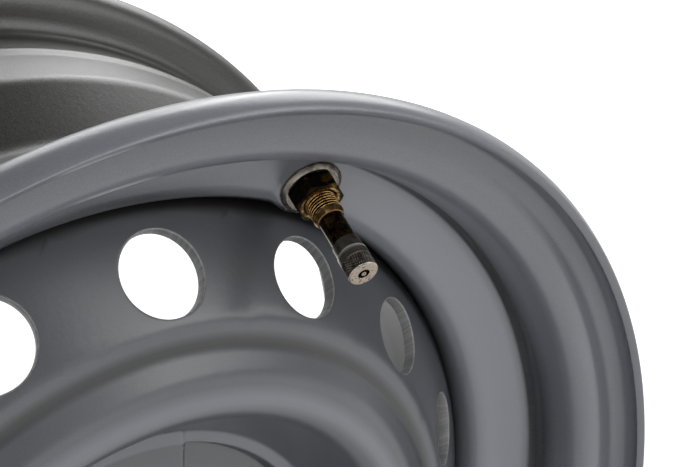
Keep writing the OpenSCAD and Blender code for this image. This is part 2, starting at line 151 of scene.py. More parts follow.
def piece_from_grids(name, grids, marks=None, sharp=40):
    """Joins grids (points, quads) into one mesh, merges the points they share and turns the faces outwards.
    marks gives named values for each point, for the materials."""
    points = np.vstack([g[0].reshape(-1, 3) for g in grids])
    start = np.cumsum([0] + [g[0].reshape(-1, 3).shape[0] for g in grids[:-1]])
    quads = np.vstack([g[1] + s for g, s in zip(grids, start)])
    mesh = bpy.data.meshes.new(name)
    mesh.from_pydata(points, [], quads)
    for mark, values in (marks or {}).items():
        layer = mesh.attributes.new(mark, "FLOAT", "POINT")
        layer.data.foreach_set("value", np.concatenate([v.ravel() for v in values]).astype(np.float32))
    work = bmesh.new()
    work.from_mesh(mesh)
    bmesh.ops.remove_doubles(work, verts=work.verts, dist=2e-6)
    bmesh.ops.dissolve_degenerate(work, edges=work.edges, dist=1e-7)
    bmesh.ops.recalc_face_normals(work, faces=work.faces)
    open_edges = sum(not e.is_manifold for e in work.edges)
    work.to_mesh(mesh)
    work.free()
    mesh.shade_smooth()
    mesh.set_sharp_from_angle(angle=radians(sharp))
    piece = bpy.data.objects.new(name, mesh)
    bpy.context.scene.collection.objects.link(piece)
    triangles = sum(len(p.vertices) - 2 for p in mesh.polygons)
    print(f"{name}: {triangles} triangles, {open_edges} open edges")
    return piece


def smooth_step(t):
    """0 below 0, 1 above 1, and 3t^2 - 2t^3 between."""
    t = np.clip(t, 0, 1)
    return t * t * (3 - 2 * t)


# %% [markdown]
# ## The valve's own axis
# The valve stands square on the front slope of the well. Its axis starts where it meets the
# inside of the rim. Turned pieces of the valve are grids round this axis.

# %% The valve's axes
VALVE_DEGREES = 64.5
VALVE_ANGLE, VALVE_TILT = radians(VALVE_DEGREES), radians(26.7)
VALVE_R, VALVE_OUT = 162.1, 47.051
radial = np.array([cos(VALVE_ANGLE), 0, sin(VALVE_ANGLE)])
around = np.array([-sin(VALVE_ANGLE), 0, cos(VALVE_ANGLE)])
outward = np.array([0, -1.0, 0])
valve_foot = VALVE_R * radial + VALVE_OUT * outward
valve_up = cos(VALVE_TILT) * radial + sin(VALVE_TILT) * outward
valve_axis = -sin(VALVE_TILT) * radial + cos(VALVE_TILT) * outward
print("valve foot", valve_foot.round(2), "axis", valve_axis.round(4))


def valve_place(radius, along, angle):
    """Points in metres round the valve's axis: foot + along * axis + radius (cos a * up + sin a * around)."""
    radius, along, angle = (x[..., None] for x in np.broadcast_arrays(radius, along, angle))
    return (valve_foot + along * valve_axis + radius * (np.cos(angle) * valve_up + np.sin(angle) * around)) * MM


# %% [markdown]
# ## The rim
# A real rim is one strip of steel, rolled into a ring, welded and spun to its section: a curled
# flange, a bead seat, a safety hump, the drop well and the same again at the back. It could be a
# spun curve with a thickness modifier, but the flat for the valve has to be pressed into it, so
# its section is a closed path of points, and the points near the valve are moved onto the flat.

# %% The rim's section
RIM_T = 3.1
CURL_HUB, CURL_R, CURL_FROM, CURL_STEPS = np.array([186.2, 85.5]), 9.3, 48, 14
VALVE_PLACE, FINE_REACH, FINE_STEP, COARSE_STEP = (163.5, 44.3), 13, 0.95, 7.0
rim_corners = [
    (186.2, 76.2, 0), (177.4, 76.2, 6), (175.9127, 59.2, 5), (176.7627, 55.2, 5),
    (174.8627, 50.0, 5.5), (156.4, 40.7145, 7), (156.4, -11.1193, 9), (172.2567, -31.4197, 9),
    (175.2128, -51.2, 5), (176.7627, -55.2, 5), (175.9127, -59.2, 5), (177.4, -76.2, 6),
    (186.2, -76.2, 0)]
front_curl = arc_path(CURL_HUB, CURL_R, CURL_FROM, -90, CURL_STEPS)
rear_curl = arc_path(CURL_HUB * (1, -1), CURL_R, 90, -CURL_FROM, CURL_STEPS)
middle_path = rounded_path(rim_corners, 5)
rim_line = np.vstack([front_curl[0], middle_path[0][1:-1], rear_curl[0]])
rim_left = np.vstack([front_curl[1], middle_path[1][1:-1], rear_curl[1]])
rim_line, rim_left = supported(rim_line, rim_left)
middle = (rim_line[1:] + rim_line[:-1]) / 2
near_valve = np.linalg.norm(middle - VALVE_PLACE, axis=1) < FINE_REACH
rim_line, rim_left = fill_in(rim_line, rim_left, np.where(near_valve, FINE_STEP, COARSE_STEP))
print("points on the rim's line", len(rim_line))


# %% The strip's cut ends
def nose(point, normal, inwards, thick, r, steps=3):
    """The rounded end of a strip, from its left face to its right face: two quarter circles of radius r."""
    a = np.radians(np.linspace(0, 90, steps + 1))[:, None]
    first = point + inwards * r - normal * r + r * (normal * np.cos(a) - inwards * np.sin(a))
    foot = point - normal * thick
    last = foot + inwards * r + normal * r - r * (inwards * np.cos(a) + normal * np.sin(a))
    return np.vstack([first, last])


def strip_ring(line, left, thick, r):
    """A closed section: front end, right face, rear end, and the left face back."""
    right = line - left * thick
    start = nose(line[0], left[0], (line[1] - line[0]) / np.linalg.norm(line[1] - line[0]), thick, r)
    stop = nose(line[-1], left[-1], (line[-2] - line[-1]) / np.linalg.norm(line[-2] - line[-1]), thick, r)
    return np.vstack([start, right[1:-1], stop[::-1], line[-2:0:-1]]), len(start)


CUT_EDGE_R = 0.45
rim_ring, nose_rows = strip_ring(rim_line, rim_left, RIM_T, CUT_EDGE_R)
inner_rows = len(rim_line) - 2
print("rows round the rim's section", len(rim_ring))

# %% Columns round the rim, closer together at the valve
CLOSE, WIDER, CLOSE_SPAN, FADE_SPAN = 0.3, 0.93, 5.0, 5
fan = np.linspace(0, 360, 3601)
off = np.abs((fan - VALVE_DEGREES + 180) % 360 - 180)
spacing = CLOSE + WIDER * smooth_step((off - CLOSE_SPAN) / FADE_SPAN)
total = np.concatenate([[0], np.cumsum(0.1 / spacing[:-1])])
rim_columns = int(total[-1])
rim_angles = np.radians(np.interp(np.arange(rim_columns) * total[-1] / rim_columns, total, fan))
rim_points = wheel_place(rim_ring[:, :1], rim_ring[:, 1:], rim_angles[None, :]) / MM
print("columns", rim_columns)

# %% Press the flat for the valve
FLAT_R, FLAT_SOFT, FLAT_DEPTH = 10.85, 2.2, 9
offset = rim_points - valve_foot
depth = offset @ valve_axis
reach = np.hypot(offset @ valve_up, offset @ around)
rows = np.arange(len(rim_ring))[:, None]
on_tyre_side = rows >= nose_rows * 2 + inner_rows
target = np.where(on_tyre_side, -RIM_T, 0.0)
pressed = (1 - smooth_step((reach - FLAT_R) / FLAT_SOFT)) * (np.abs(depth - target) < FLAT_DEPTH)
rim_points = rim_points + (pressed * (target - depth))[..., None] * valve_axis
print("points pressed flat", int((pressed > 0).sum()))

# %% [markdown]
# The valve hole is cut as a block out of the grid, and a ring of points leads from the block's
# border to the round hole and through it. That keeps the faces round the hole even.

# %% The valve hole
HOLE_R, HOLE_EDGE, HOLE_PLATE_R, HOLE_BLOCK = 5.65, 0.3, 7.0, 7.3


def q_row(k):
    """Row of point k of the line on the hub side."""
    return nose_rows + k - 1


def p_row(k):
    """Row of point k of the line on the tyre side."""
    return 2 * nose_rows + 2 * inner_rows - k


hub_side_line = rim_line - rim_left * RIM_T
in_block_k = np.nonzero(np.linalg.norm(hub_side_line - (VALVE_R, VALVE_OUT), axis=1) < HOLE_BLOCK)[0]
k0, k1 = in_block_k[0], in_block_k[-1]
in_block_j = np.nonzero(np.abs(rim_angles - VALVE_ANGLE) * VALVE_R < HOLE_BLOCK)[0]
j0, j1 = in_block_j[0], in_block_j[-1]
keep = np.ones((len(rim_ring), rim_columns), bool)
keep[q_row(k0):q_row(k1), j0:j1] = False
keep[p_row(k1):p_row(k0), j0:j1] = False


def block_loop(row_of):
    """The grid's points round the block that the hole takes, in order."""
    ks, js = np.arange(k0, k1 + 1), np.arange(j0, j1 + 1)
    k_loop = np.concatenate([np.full(len(js) - 1, k0), ks[:-1], np.full(len(js) - 1, k1), ks[:0:-1]])
    j_loop = np.concatenate([js[:-1], np.full(len(ks) - 1, j1), js[:0:-1], np.full(len(ks) - 1, j0)])
    return rim_points[row_of(k_loop), j_loop]


hub_loop, tyre_loop = block_loop(q_row), block_loop(p_row)
turn_at = np.arctan2((hub_loop - valve_foot) @ around, (hub_loop - valve_foot) @ valve_up)
corner = [
    (HOLE_PLATE_R, 0), (HOLE_R + HOLE_EDGE, 0), (HOLE_R + 0.3 * HOLE_EDGE, -0.3 * HOLE_EDGE), (HOLE_R, -HOLE_EDGE)]
wall = np.array(corner + [(r, -RIM_T - h) for r, h in reversed(corner)])
hole_rows = valve_place(wall[:, :1], wall[:, 1:], turn_at[None, :])
hole_points = np.vstack([hub_loop[None] * MM, hole_rows, tyre_loop[None] * MM])
print("points round the valve hole", len(turn_at))

# %% [markdown]
# The paint on the real rim isn't even: it is rough on the tyre's side and thin and dark along the cut edge, and
# it gets painted shade in the joint with the disc and painted light and shade on slopes and bends. The mesh carries
# these as values at its points. The paint could find them from coordinates, but a mesh value follows the section
# exactly.

# %% Marks for the rim's paint: tyre side and cut edge
hub_side = (rows >= nose_rows) & (rows < nose_rows + inner_rows)
out_at = rim_ring[:, 1:]
tyre_side = on_tyre_side & (out_at < 60)


def arc_share(first, full, last, end):
    """1 from the rim's angle full to last, fading to 0 at first and end, all in degrees from -180 to 180."""
    a = np.degrees((rim_angles[None, :] + np.pi) % (2 * np.pi) - np.pi)
    return smooth_step((a - first) / (full - first)) * smooth_step((end - a) / (end - last))


far_end = nose_rows + inner_rows
end_row = rows % far_end
burr = 0.5 * np.isin(end_row, [1, 2]) + np.isin(end_row, [nose_rows - 3, nose_rows - 2])
burr = burr * (end_row < nose_rows) * (rows < far_end + nose_rows)
burr = burr * (1 - 0.8 * arc_share(85, 105, 150, 175))
print("points with a burr line", int((burr > 0.1).sum()))


# %% Marks for the rim's paint: painted shade in the joint, painted light and shade on slopes and bends
def out_share(first, full, last, end):
    """1 on the hub side from the place full to last along the axis, fading to 0 at first and end."""
    return hub_side * smooth_step((out_at - first) / (full - first)) * smooth_step((end - out_at) / (end - last))


# Painted shade, nearly black, in the joint of rim and disc; it reaches further out where the disc hides the well.
joint_shade_from = 34.4 + 8.0 * arc_share(48, 68, 150, 175)
joint_shade = hub_side * smooth_step((joint_shade_from - out_at) / 1.2) * smooth_step((out_at - 15) / 2)
slope = out_share(38, 41, 50.5, 52)
bend = out_share(51.5, 53, 59, 63) * (rim_ring[:, :1] < 180)
seat = out_share(57, 60, 68, 72)
flange = out_share(77, 78.5, 82, 86)
# Painted light and shade by the angle round the rim: a lighter slope and a darker bend at the right, a darker slope at
# the top left, and a darker flange and seat.
painted_light_and_shade = (arc_share(-58, -26, 46, 74) * (slope - bend)
        - arc_share(68, 84, 150, 175) * slope * smooth_step((50 - out_at) / 8)
        - 0.28 * arc_share(22, 40, 108, 130) * flange
        - 0.3 * arc_share(-58, -26, 14, 30) * seat)
print("tone from", round(float(painted_light_and_shade.min()), 2), "to", round(float(painted_light_and_shade.max()), 2))

# %% The rim as a mesh
rim_marks = {"tyre_side": tyre_side, "burr": burr, "painted_light_and_shade": painted_light_and_shade, "joint_shade": joint_shade}
no_mark = np.zeros(hole_points.shape[:2])
wheel_rim = piece_from_grids(
    "wheel_rim",
    [(rim_points * MM, grid_faces(len(rim_ring), rim_columns, close_rows=True, keep=keep)),
     (hole_points, grid_faces(len(hole_points), len(turn_at)))],
    marks={key: [np.broadcast_to(value, keep.shape), no_mark] for key, value in rim_marks.items()},
    sharp=50)

# %% [markdown]
# ## The disc
# The disc is blanked and pressed from one plate: hub bore, flat floor with a raised land round
# each stud hole, dish, crown, gutter, vented cone and the cylindrical edge that is pushed into the
# rim. A boolean cut would leave long thin faces round the vents that shade badly. So each hole gets
# its own grid instead, from the circle of the hole out to a window in the plate's grid.

# %% The disc's two faces
DISC_T, FLOOR_OUT, EDGE_R = 4.0, 34, 153.3
disc_corners = [
    (33.3, FLOOR_OUT, 0), (74.5, FLOOR_OUT, 2.5), (80, 39.5, 3), (95, 62, 9), (107, 60.5, 12), (115.5, 56, 10),
    (122.5, 56.4, 8), (EDGE_R, 31.9006, 9), (EDGE_R, -1.0994, 0)]
fine_line, fine_left = rounded_path(disc_corners, 40)
fine_back = fine_line - fine_left * DISC_T
face_end = int(np.argmax(fine_line[:, 0] > EDGE_R - 0.01))
disc_line, disc_left = supported(*rounded_path(disc_corners, 7), near=0.6)
LANDS_TO, LANDS_STEP, LEDGE_ROWS_TO, LEDGE_STEP, PLATE_STEP = 71, 2.1, 81, 1.15, 4.2
row_r = disc_line[1:, 0]
longest = np.select([row_r < LANDS_TO, row_r < LEDGE_ROWS_TO], [LANDS_STEP, LEDGE_STEP], PLATE_STEP)
disc_line, disc_left = fill_in(disc_line, disc_left, longest)
disc_back = disc_line - disc_left * DISC_T
gutter_row = int(np.argmin(np.abs(disc_line[:, 0] - 118.4)))
cone_row = int(np.argmin(np.hypot(disc_line[:, 0] - 149.9, disc_line[:, 1] - 34.6)))
print("rows", len(disc_line), "gutter", disc_line[gutter_row].round(2), "cone end", disc_line[cone_row].round(2))

# %% The raised lands round the stud holes
STUD_R, STUD_ANGLE, STUDS = 56.0, radians(86), 5
LAND_H, LAND_SOFT, LAND_BLEND, LAND_TO = 5.5, 4.5, 1.0, 100.0
LAND_HALF, HOLLOW_HALF = 22.0, 16.6
LEDGE_FROM, LEDGE_TO, LEDGE_H, LEDGE_FALL, LEDGE_RISE = 75.4, 79.6, 38.6, 0.1, 2.4


def land_lift(radius, angle, half, above_floor):
    """How far a land lifts the plate. A land is round the hole and runs straight out to the dish's wall.
    Its height over the floor is a smooth step of the distance from its edge, and it meets the wall in a soft bend."""
    turn = (angle - STUD_ANGLE + np.pi / STUDS) % (2 * np.pi / STUDS) - np.pi / STUDS
    x, y = radius * np.cos(turn) - STUD_R, radius * np.sin(turn)
    away = np.where(x > 0, np.abs(y), np.hypot(x, y))
    share = (1 - smooth_step((away - half) / LAND_SOFT + 0.5)) * (radius < LAND_TO)
    d = (LAND_H + LAND_BLEND) * share - LAND_BLEND - above_floor
    soft = (d + LAND_BLEND) ** 2 / (4 * LAND_BLEND)
    return np.where(d < -LAND_BLEND, 0, np.where(d > LAND_BLEND, d, soft))


def outside(radius, angle):
    """Height of the disc's outer face: its section's height with the ledge round the floor, and the lift of the
    lands. The ledge rises from the floor in a smooth step and falls a little outwards to the dish's wall."""
    base = np.interp(radius, fine_line[:face_end, 0], fine_line[:face_end, 1])
    ledge = LEDGE_H - LEDGE_FALL * (radius - LEDGE_FROM)
    rise = smooth_step((radius - LEDGE_FROM + 2.2) / LEDGE_RISE)
    base = np.where(radius < LEDGE_TO + 1, np.maximum(base, FLOOR_OUT + (ledge - FLOOR_OUT) * rise), base)
    return base + land_lift(radius, angle, LAND_HALF, base - FLOOR_OUT)


def inside(radius, angle):
    """Height of the disc's hub face, 4 mm behind the outer one, with the hollows behind the lands."""
    base = np.interp(radius, fine_back[:face_end, 0], fine_back[:face_end, 1])
    return base + land_lift(radius, angle, HOLLOW_HALF, base - (FLOOR_OUT - DISC_T))


# %% Grids of the plate: dish and crown, then shoulder and edge
VENTS, VENT_ANGLE, VENT_R, VENT_AT, CONE_TILT = 16, radians(59.8), 13.0, 135.0, radians(38.5)
DISC_COLUMNS = 320
COLUMN_TURN = 2 * np.pi / DISC_COLUMNS
disc_angles = VENT_ANGLE - np.pi / VENTS + np.arange(DISC_COLUMNS) * COLUMN_TURN
stud_column = round((STUD_ANGLE - disc_angles[0]) / COLUMN_TURN)
lean = STUD_ANGLE - disc_angles[stud_column]
LEAN_TO, LEAN_SOFT, PLATE_EDGE_R = 84, 16, 0.5


def leaning(radius):
    """Angles of the grid's columns: they lean by under half a column, so that one passes through each stud."""
    return disc_angles[None, :] + lean * (1 - smooth_step((radius - LEAN_TO) / LEAN_SOFT))


face_r, back_r = disc_line[1:gutter_row + 1, :1], disc_back[gutter_row:0:-1, :1]
bore_end = nose(disc_line[0], disc_left[0], np.array([1.0, 0]), DISC_T, PLATE_EDGE_R)[::-1]
bore_grid = wheel_place(bore_end[:, :1], bore_end[:, 1:], leaning(bore_end[:, :1]))
face_grid = wheel_place(face_r, outside(face_r, leaning(face_r)), leaning(face_r))
back_grid = wheel_place(back_r, inside(back_r, leaning(back_r)), leaning(back_r))
dish_grid = np.vstack([back_grid, bore_grid, face_grid])
edge_ring = np.vstack([
    disc_line[cone_row:-1],
    nose(disc_line[-1], disc_left[-1], np.array([0, 1.0]), DISC_T, PLATE_EDGE_R),
    disc_back[cone_row:-1][::-1]])
edge_grid = wheel_place(edge_ring[:, :1], edge_ring[:, 1:], disc_angles[None, :])
print("dish grid", dish_grid.shape, "edge grid", edge_grid.shape)


# %% A hole with its own grid
def window_loop(radii, angles):
    """The border of a window from radii[0] to radii[-1] and angles[0] to angles[-1], in order."""
    low, high = (np.full(len(angles) - 1, radii[k]) for k in (0, -1))
    first, last = (np.full(len(radii) - 1, angles[k]) for k in (0, -1))
    r = np.concatenate([low, radii[:-1], high, radii[:0:-1]])
    a = np.concatenate([angles[:-1], last, angles[:0:-1], first])
    return r, a


SLIDES = 16


def hole_circle(surface, middle, tilt, radius, theta, centre):
    """Where a round hole's wall meets a face. The hole's axis leans outwards by tilt. A point of its wall
    slides along that axis until its height is the face's height."""
    h = np.zeros(np.broadcast_shapes(theta.shape, centre.shape))
    for _ in range(SLIDES):
        r, out, a = hole_wall(middle, tilt, radius, h, theta, centre)
        h = h - (out - surface(r, a)) * cos(tilt)
    return h


def hole_wall(middle, tilt, radius, h, theta, centre):
    """(radius, out, angle) of the point at distance h along the hole's axis and radius from it."""
    x = middle[0] + radius * np.cos(theta) * cos(tilt) + h * sin(tilt)
    y = radius * np.sin(theta) + 0 * h
    out = middle[1] - radius * np.cos(theta) * sin(tilt) + h * cos(tilt)
    return np.hypot(x, y), out, centre + np.arctan2(y, x)


# %% Grids through the holes
PLATE_SHARES = (1, 0.72, 0.48, 0.28, 0.13, 0.04, 0)


def through_hole(middle, tilt, centres, windows, down, up):
    """Grids from the window in the outer face, through the hole, to the window in the inner face.
    down gives the wall as (radius, depth under the outer face), and up as (radius, height over the inner one).
    Between window and circle, points share their radius and angle evenly and lie on the face."""
    centre = centres[:, None]
    rows, walls = [], []
    for surface, (radii, angles), wall_line in zip((outside, inside), windows, (down, up)):
        r_loop, a_loop = window_loop(radii, angles)
        theta = np.arctan2(r_loop * np.sin(a_loop), (r_loop * np.cos(a_loop) - middle[0]) / cos(tilt))[None, :]
        sign = 1 if surface is outside else -1
        h = hole_circle(surface, middle, tilt, wall_line[0][0], theta, centre)
        r0, _, a0 = hole_wall(middle, tilt, wall_line[0][0], h, theta, centre)
        plate = []
        for share in PLATE_SHARES:
            r = r0 + (r_loop[None, :] - r0) * share
            a = a0 + (centre + a_loop[None, :] - a0) * share
            plate.append(wheel_place(r, surface(r, a), a))
        for radius, groove_shade in wall_line[1:]:
            plate.append(wheel_place(*hole_wall(middle, tilt, radius, h - sign * groove_shade, theta, centre)))
        rows.append(np.stack(plate, 1))
        walls.append(np.concatenate([np.zeros(len(PLATE_SHARES)), np.ones(len(wall_line) - 1)]))
    grid = np.concatenate([rows[0], rows[1][:, ::-1]], 1)
    mark = np.concatenate([walls[0], walls[1][::-1]])
    quads = grid_faces(grid.shape[1], grid.shape[2])
    around_hole = np.broadcast_to(theta, grid.shape[1:3])
    return [(g, quads) for g in grid], [np.broadcast_to(mark[:, None], grid.shape[1:3]) for _ in grid], around_hole


def rolled_edge(radius, r, steps=3):
    """A wall's rounded edge as (radius, depth): a quarter circle from the face down to the wall."""
    a = np.radians(np.linspace(0, 90, steps + 1))
    return [(radius + r * (1 - np.sin(t)), r * (1 - np.cos(t))) for t in a]


# %% Vents and stud holes
vent_middle = (VENT_AT, float(np.interp(VENT_AT, fine_line[:face_end, 0], fine_line[:face_end, 1])))
VENT_ROWS, STUD_COLUMNS, STUD_FROM, STUD_TO, SEAT_R = 17, 11, 44.5, 67.5, 7.5
sector = np.arange(DISC_COLUMNS // VENTS + 1) * COLUMN_TURN - np.pi / VENTS
vent_windows = [
    (np.linspace(line[gutter_row, 0], line[cone_row, 0], VENT_ROWS), sector) for line in (disc_line, disc_back)]
vent_grids, vent_marks, vent_turn = through_hole(
    vent_middle, CONE_TILT, VENT_ANGLE + np.arange(VENTS) * 2 * np.pi / VENTS, vent_windows,
    rolled_edge(VENT_R, 0.5), rolled_edge(VENT_R, 0.35))
row_a, row_b = (int(np.argmin(np.abs(disc_line[:gutter_row, 0] - r))) for r in (STUD_FROM, STUD_TO))
stud_angles = np.arange(-STUD_COLUMNS, STUD_COLUMNS + 1) * COLUMN_TURN
stud_windows = [(disc_line[row_a:row_b + 1, 0], stud_angles)] * 2
bolt_seat = [(9.45, 0), (9.27, 0.04), (9.1, 0.2), (7.6, 2.76), (SEAT_R, 2.95)]
stud_grids, stud_marks, stud_turn = through_hole(
    (STUD_R, FLOOR_OUT + LAND_H), 0.0, STUD_ANGLE + np.arange(STUDS) * 2 * np.pi / STUDS, stud_windows,
    bolt_seat, rolled_edge(SEAT_R, 0.3))
print("vent grids", len(vent_grids), "stud grids", len(stud_grids))

# %% The disc as a mesh
dish_keep = np.ones((len(dish_grid) - 1, DISC_COLUMNS), bool)
face_start = len(back_grid) + len(bore_grid)
for k in range(STUDS):
    c = stud_column + k * DISC_COLUMNS // STUDS
    across = np.arange(c - STUD_COLUMNS, c + STUD_COLUMNS) % DISC_COLUMNS
    dish_keep[face_start + row_a - 1:face_start + row_b - 1, across] = False
    dish_keep[gutter_row - row_b:gutter_row - row_a, across] = False
disc_grids = [
    (dish_grid, grid_faces(*dish_grid.shape[:2], keep=dish_keep)),
    (edge_grid, grid_faces(*edge_grid.shape[:2]))] + vent_grids + stud_grids
print("quads taken out for the studs", int((~dish_keep).sum()))

# %% Marks for the disc's paint, and its mesh
CONTACT_R, CONTACT_SOFT, CONTACT_OUT = 147.8, 2.4, 5
plates = [np.zeros(dish_grid.shape[:2]), np.zeros(edge_grid.shape[:2])]
disc_radius = [np.hypot(grid[..., 0], grid[..., 2]) / MM for grid, _ in disc_grids]
# Painted shade, nearly black, where the disc's edge meets the rim's well.
joint_shade_on_disc = [smooth_step((radius - CONTACT_R) / CONTACT_SOFT) for radius in disc_radius]
joint_shade_on_disc[1] = joint_shade_on_disc[1] * (edge_ring[:, 1:] > CONTACT_OUT)
turns = [vent_turn + k for k in range(VENTS)] + [stud_turn + k for k in range(STUDS)]
wheel_disc = piece_from_grids(
    "wheel_disc", disc_grids,
    marks={
        "hole_wall": plates + vent_marks + stud_marks,
        "radius": disc_radius,
        "joint_shade": joint_shade_on_disc,
        "hole_x": plates + [np.cos(a) for a in turns],
        "hole_y": plates + [np.sin(a) for a in turns]},
    sharp=50)

# %% [markdown]
# ## Weld beads
# Eight short beads join the disc's edge to the rim at the back. Each is drawn as a fillet whose
# size swells and shrinks a little along its length, as a hand or robot leaves it, and runs out to
# nothing at both ends. They could be tubes, but the fillet has to fill the corner it lies in.

# %% Beads
WELDS, WELD_SPAN, WELD_LEG, RIPPLES, BEAD_ROWS, BEAD_POINTS = 8, radians(26), 3.4, 30, 96, 9
t = np.linspace(0, 1, BEAD_ROWS)[:, None]
section = np.radians(np.linspace(0, 90, BEAD_POINTS))[None, :]
swell = np.minimum(1, 6 * np.minimum(t, 1 - t)) ** 0.5 * (1 + 0.05 * np.cos(2 * np.pi * RIPPLES * t))
size = WELD_LEG * np.clip(swell, 0.02, 0.97) * 0.97
root = np.array([153.25, -1.15])
bead_r = root[0] - size * np.cos(section) ** 1.3 * 0.98
bead_out = root[1] - size * np.sin(section) ** 1.3 * 0.98
bead_r, bead_out = (np.hstack([x, np.full((BEAD_ROWS, 1), end)]) for x, end in zip((bead_r, bead_out), root))
beads = []
for k in range(WELDS):
    a = 2 * np.pi / WELDS * k + t * WELD_SPAN
    ring = wheel_place(bead_r, bead_out, a)
    ends = np.broadcast_to(ring[[0, -1]].mean(1, keepdims=True), (2, BEAD_POINTS + 1, 3))
    ring = np.vstack([ends[:1], ring, ends[1:]])
    beads.append((ring, grid_faces(BEAD_ROWS + 2, BEAD_POINTS + 1)))
weld_beads = piece_from_grids("weld_beads", beads, sharp=60)

# %% [markdown]
# ## The valve's turned pieces
# Stem, washer, grommet and cap come off a lathe, so each is a closed outline carried round the
# valve's axis. A thread is a groove whose place along the axis grows by one pitch for each turn.
# It has to be real geometry here, because it shows in the outline of the barrel.

# %% Outlines become turned grids
def turned(corners, columns, longest, closed=True, relief=None, steps=3):
    """A turned piece from its outline's corners (radius, along, fillet), and each point's place along the axis.
    longest gives the longest step at a place along the axis. relief(along, angle, radius) is taken off the radius."""
    line, left = rounded_path(corners, steps)
    line, left = fill_in(line, left, longest((line[1:] + line[:-1]) / 2))
    angle = (np.arange(columns) * 2 * np.pi / columns)[None, :]
    radius, along = line[:, :1] + 0 * angle, line[:, 1:] + 0 * angle
    if relief is not None:
        radius = radius - relief(along, angle, radius)
    return valve_place(radius, along, angle), grid_faces(len(line), columns, close_rows=closed), along, radius


def groove(along, angle, pitch, depth, first, last, run_out=0.3):
    """A right-hand thread's groove: a triangle wave of along / pitch - turns, faded out at both ends."""
    wave = np.abs(((along / pitch - angle / (2 * np.pi)) % 1) * 2 - 1)
    share = np.clip(wave * 1.5 - 0.2, 0, 1)
    inside_thread = np.clip((along - first) / run_out, 0, 1) * np.clip((last - along) / run_out, 0, 1)
    return depth * share * inside_thread


# %% The stem
BARREL_R, BARREL_FROM, BARREL_TO, BARREL_PITCH, BARREL_DEPTH = 4.8, 7.0, 12.3, 0.95, 0.5
STEM_R, TIP, CAP_PITCH, CAP_DEPTH = 3.85, 33.1, 0.794, 0.3
stem_corners = [
    (1.5, -7.9, 0), (7.5, -7.9, 0.4), (7.5, -5.3, 0.4), (BARREL_R, -5.3, 0.1), (BARREL_R, BARREL_FROM, 0),
    (BARREL_R, BARREL_TO, 0), (BARREL_R, 12.95, 0.08), (4.25, 14.3, 0.1), (STEM_R, 14.5, 0.1), (STEM_R, 24.4, 0),
    (STEM_R, TIP, 0.3),
    (2.51, TIP, 0.1), (2.51, 27.7, 0.1), (2.05, 26.5, 0.1), (2.05, 16.4, 0.1), (1.5, 16.4, 0)]


def stem_steps(middles):
    """Fine steps where a thread is cut, coarse ones elsewhere."""
    radius, along = middles.T
    barrel = (radius > 4.5) & (along > BARREL_FROM) & (along < BARREL_TO)
    cap_thread = (radius > 3.6) & (radius < 4) & (along > 24)
    return np.select([barrel, cap_thread], [0.067, 0.08], 3.0)


def stem_relief(along, angle, radius):
    """The barrel's thread and the cap's thread."""
    barrel = groove(along, angle, BARREL_PITCH, BARREL_DEPTH, BARREL_FROM, BARREL_TO + 0.15) * (radius > 4.7)
    cap = groove(along, angle, CAP_PITCH, CAP_DEPTH, 24.6, TIP - 0.2) * (radius > 3.6) * (radius < 4)
    return barrel + cap


STEM_COLUMNS, THREAD_END = 72, 12.6
grid, quads, along, radius = turned(stem_corners, STEM_COLUMNS, stem_steps, relief=stem_relief)
# The thread's depth marks its grooves for painted shade.
thread_depth = np.where(along > THREAD_END, 0, BARREL_R - radius)
valve_body = piece_from_grids(
    "valve_body", [(grid, quads)],
    marks={"along": [along], "turned": [along + radius], "groove_shade": [thread_depth]})

# %% Washer, grommet and nut
WASHER_R, WASHER_T, WASHER_COLUMNS = 9.85, 1.7, 144
BORE_R, GROMMET_R, GROMMET_COLUMNS = 4.86, 5.59, 64


def plain(middles):
    """One long step everywhere."""
    return np.full(len(middles), 3.0)


grid, quads, along, radius = turned(
    [(BORE_R, 0.6, 0), (BORE_R, 0, 0.15), (WASHER_R, 0, 0.15), (WASHER_R, 0.75, 0.3), (8.5, WASHER_T, 0.5),
     (BORE_R, WASHER_T, 0.15), (BORE_R, 1.1, 0)], WASHER_COLUMNS, plain)
washer = piece_from_grids("washer", [(grid, quads)], marks={"turned": [along + radius]})
grid, quads, *_ = turned(
    [(BORE_R, -3.5, 0), (BORE_R, -5.3, 0.1), (7.9, -5.3, 0.5), (7.9, -3.1, 0.4), (GROMMET_R, -3.1, 0.1),
     (GROMMET_R, -0.2, 0.1), (BORE_R, -0.2, 0.1), (BORE_R, -2.5, 0)], GROMMET_COLUMNS, plain)
grommet = piece_from_grids("grommet", [(grid, quads)])


# %% [markdown]
# The nut is the one piece that isn't round. Its outline is the same kind of path, but each point's
# radius is held back to the hexagon's, and its two faces fall away from the chamfer's circle as a
# lathe tool leaves them. A cylinder with six sides would miss the curved edge of that chamfer.

# %% The nut
def hexagon(angle, across):
    """Radius of a hexagon with that width across its flats and a corner at angle 0:
    half the width over the cosine of the angle from the nearest flat's middle."""
    return across / 2 / np.cos(angle % (np.pi / 3) - np.pi / 6)


